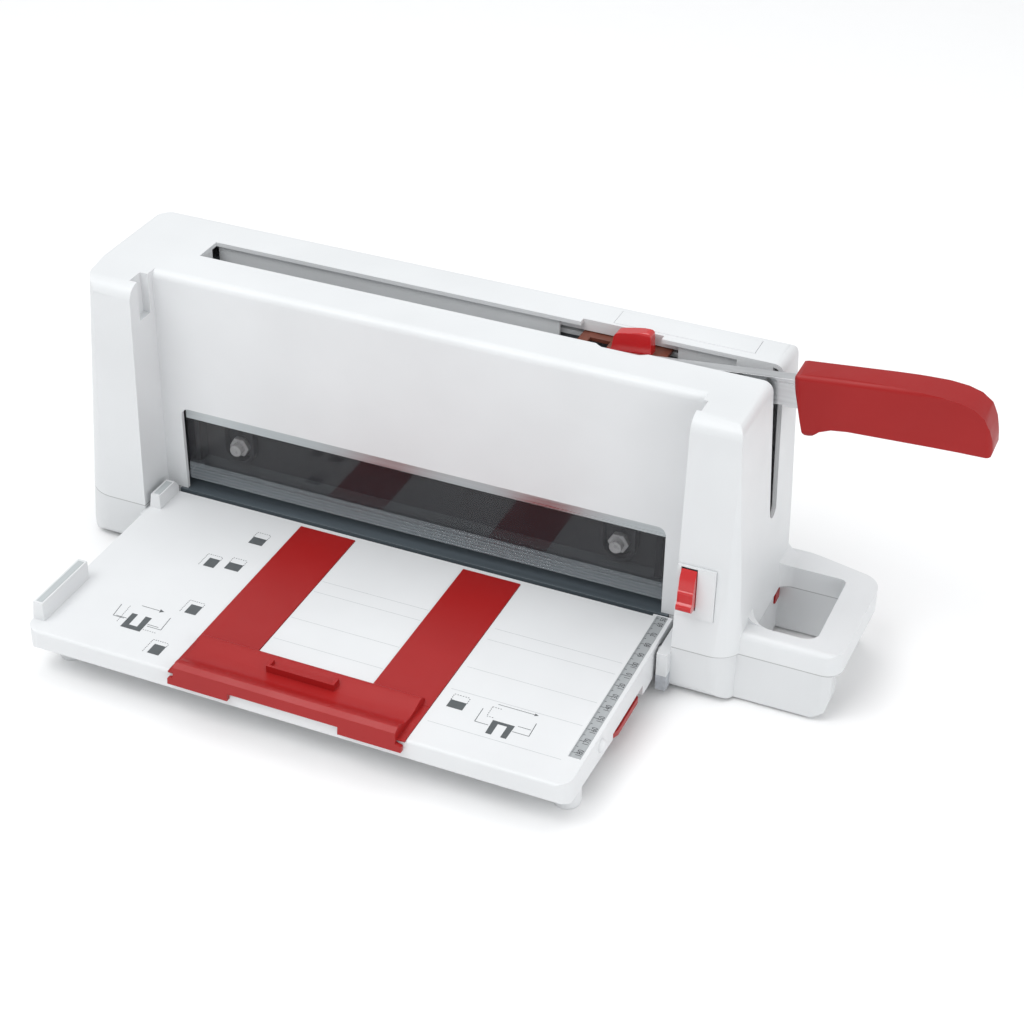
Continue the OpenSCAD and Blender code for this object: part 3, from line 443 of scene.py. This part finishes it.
# the two signs, left and right of the gauge: filled shapes, plain lines and dashed lines
SIGN_SHAPES = (
    ((-116.2, -171.2), (-116.0, -184.4), (-103.5, -184.4), (-103.7, -171.0), (-107.7, -171.0),
     (-107.2, -181.0), (-112.4, -181.0), (-112.6, -171.2)),
    ((105.6, -173.5), (118.2, -173.5), (117.9, -184.8), (114.6, -184.8), (114.6, -175.6),
     (109.3, -175.6), (109.4, -184.8), (106.1, -184.8)),
    ((-103.6, -161.7), (-100.6, -163.1), (-103.0, -164.8)),
    ((124.0, -159.5), (126.2, -160.6), (124.0, -161.7)),
)
SIGN_LINES = (
    ((-126.2, -166.5), (-125.0, -177.3), (-118.0, -177.3)),
    ((-94.4, -166.5), (-93.6, -178.3), (-102.5, -178.3)),
    ((-123.5, -176.6), (-116.5, -176.6)),
    ((-103.0, -176.8), (-96.0, -176.8)),
    ((-115.0, -163.2), (-103.6, -163.2)),
    ((97.0, -166.9), (97.2, -178.3), (105.0, -178.3)),
    ((127.6, -166.9), (128.0, -178.0), (118.6, -178.0)),
    ((119.6, -172.9), (127.0, -172.9)),
    ((103.0, -160.6), (124.0, -160.6)),
)
SIGN_DASHES = (
    ((-120.9, -166.0), (-120.0, -181.9)),
    ((-103.0, -181.8), (-94.2, -181.8)),
    ((101.1, -163.6), (101.3, -171.8)),
    ((101.3, -171.8), (105.6, -171.8)),
    ((101.1, -163.6), (107.0, -163.6)),
)

# ruler, measured from the cut: ticks from RULER_X outwards, and a number at every tenth
RULER_X, RULER_SPAN = 152.7, (54, 184)
TICK_TEN, TICK_FIVE, TICK_ONE = 2.6, 1.8, 1.0
TICK_BOLD, TICK_FINE = 0.36, 0.2
NUMBERS_X, NUMBER_SIZE, NUMBER_WIDTH = 157.2, 4.7, 0.78
NUMBERS_SPAN = (54.6, 179.6)


def flat(name, polys, z, mat, body):
    """Printed shapes: flat polygons (x, y) at height z."""
    work = bmesh.new()
    for poly in polys:
        face = work.faces.new([work.verts.new((x * MM, y * MM, z * MM)) for x, y in poly])
        face.normal_update()
        if face.normal.z < 0:
            face.normal_flip()
    mesh = bpy.data.meshes.new(name)
    work.to_mesh(mesh)
    work.free()
    link(name, mesh, mat, body)


def stroke(p, q, width):
    """A straight printed line from p to q."""
    a, b = Vector(p), Vector(q)
    side = (b - a).normalized().orthogonal() * width / 2
    return [tuple(a + side), tuple(b + side), tuple(b - side), tuple(a - side)]


def path(points, width):
    return [stroke(a, b, width) for a, b in zip(points, points[1:])]


def dashes(p, q, width):
    a, b = Vector(p), Vector(q)
    count = max(1, round((b - a).length / DASH_PITCH))
    step = (b - a) / count
    return [stroke(a + step * i, a + step * (i + DASH_FILL), width) for i in range(count)]


def format_mark(x, y, width, depth, above):
    """A dark square under a dashed frame; the frame of a narrow square hangs over to the left."""
    narrow = width < NARROW_MARK
    left, right, top = x - (FRAME_OVERHANG if narrow else 0), x + width, y + depth + above
    shapes = [[(x, y), (right, y), (right, y + depth), (x, y + depth)]]
    shapes += dashes((left, top), (right, top), MARK_LINE)
    shapes += dashes((right, y + depth), (right, top), MARK_LINE)
    shapes += dashes((left, y if narrow else y + depth), (left, top), MARK_LINE)
    return shapes


def print_table(mats):
    """Format marks and signs, drawn without lettering, and the faint lines across the table."""
    faint = [stroke((x0, y), (x1, y), FAINT_LINE) for y in FORMAT_LINES_Y for x0, x1 in STRAP_GAPS]
    dark = list(SIGN_SHAPES)
    for mark in MARKS:
        dark += format_mark(*mark)
    for points in SIGN_LINES:
        dark += path(points, SIGN_LINE)
    for p, q in SIGN_DASHES:
        dark += dashes(p, q, SIGN_LINE)
    flat("table_marks", dark, PRINT_Z, mats["print_dark"], "table")
    flat("table_lines", faint, PRINT_Z - 0.01, mats["print_faint"], "table")


def number_mesh(value):
    """A ruler number as a flat mesh round the origin, read from the table's right side."""
    curve = bpy.data.curves.new("number", "FONT")
    curve.body = str(value)
    curve.size = NUMBER_SIZE * MM
    curve.align_x, curve.align_y = "CENTER", "CENTER"
    text = bpy.data.objects.new("number", curve)
    bpy.context.scene.collection.objects.link(text)
    graph = bpy.context.evaluated_depsgraph_get()
    glyphs = bpy.data.meshes.new_from_object(text.evaluated_get(graph), depsgraph=graph)
    bpy.data.objects.remove(text)
    bpy.data.curves.remove(curve)
    glyphs.transform(Matrix.Diagonal((NUMBER_WIDTH, 1, 1, 1)))
    glyphs.transform(Euler((0, 0, math.pi / 2)).to_matrix().to_4x4())
    return glyphs


def print_ruler(mats):
    """Millimetre ruler on the table's right side: ticks and plain numbers, measured from the cut."""
    ticks = []
    for y in range(*RULER_SPAN):
        long = TICK_TEN if y % 10 == 0 else (TICK_FIVE if y % 5 == 0 else TICK_ONE)
        width = TICK_BOLD if y % 5 == 0 else TICK_FINE
        ticks.append(stroke((RULER_X, -y), (RULER_X + long, -y), width))
    flat("ruler_ticks", ticks, RULER_Z, mats["print_black"], "table")
    whole = bmesh.new()
    first, last = NUMBERS_SPAN
    for value in range(50, 190, 10):
        glyphs = number_mesh(value)
        y = -min(max(value, first), last)
        glyphs.transform(Matrix.Translation((NUMBERS_X * MM, y * MM, RULER_Z * MM)))
        whole.from_mesh(glyphs)
        bpy.data.meshes.remove(glyphs)
    mesh = bpy.data.meshes.new("ruler_numbers")
    whole.to_mesh(mesh)
    whole.free()
    link("ruler_numbers", mesh, mats["print_black"], "table")


# ---------------------------------------------------------------- stage
FLOOR_SIZE = 6.0
SKY_COLOUR, SKY_STRENGTH = (0.97, 0.985, 1.0, 1), 0.66
LIGHTS_AIM = (0.03, -0.06, 0.08)
# name, place, (width, height) in metres, watts
LIGHTS = (
    ("key", (-0.7, -1.3, 2.3), (1.8, 1.4), 31),
    ("top", (0.1, 0.5, 2.4), (2.4, 1.6), 16),
    ("side", (2.2, -0.9, 0.9), (1.6, 1.4), 13),
)


def make_light(name, at, size, power):
    data = bpy.data.lights.new(name, "AREA")
    data.shape = "RECTANGLE"
    data.size, data.size_y = size
    data.energy = power
    obj = bpy.data.objects.new(name, data)
    obj.location = at
    obj.rotation_euler = (Vector(LIGHTS_AIM) - Vector(at)).to_track_quat("-Z", "Y").to_euler()
    bpy.context.scene.collection.objects.link(obj)


def make_stage():
    """A plain pale floor, an even pale sky and three soft lights."""
    work = bmesh.new()
    bmesh.ops.create_grid(work, x_segments=8, y_segments=8, size=FLOOR_SIZE)
    mesh = bpy.data.meshes.new("floor")
    work.to_mesh(mesh)
    work.free()
    floor = bpy.data.objects.new("floor", mesh)
    bpy.context.scene.collection.objects.link(floor)
    mesh.materials.append(plastic("floor_paper", (0.93, 0.93, 0.93), 0.7, grain=300, mottle=0.002))
    world = bpy.data.worlds.new("world")
    world.use_nodes = True
    sky = world.node_tree.nodes["Background"]
    sky.inputs["Color"].default_value = SKY_COLOUR
    sky.inputs["Strength"].default_value = SKY_STRENGTH
    bpy.context.scene.world = world
    for light in LIGHTS:
        make_light(*light)
    bpy.context.scene.view_settings.view_transform = "Standard"


def main():
    for obj in list(bpy.data.objects):
        bpy.data.objects.remove(obj)
    make_camera()
    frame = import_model()
    mats = make_materials()
    dress(frame, mats)
    paint_knob(mats)
    paint_brackets(mats)
    flex_springs(frame, mats)
    print_table(mats)
    print_ruler(mats)
    make_stage()


main()
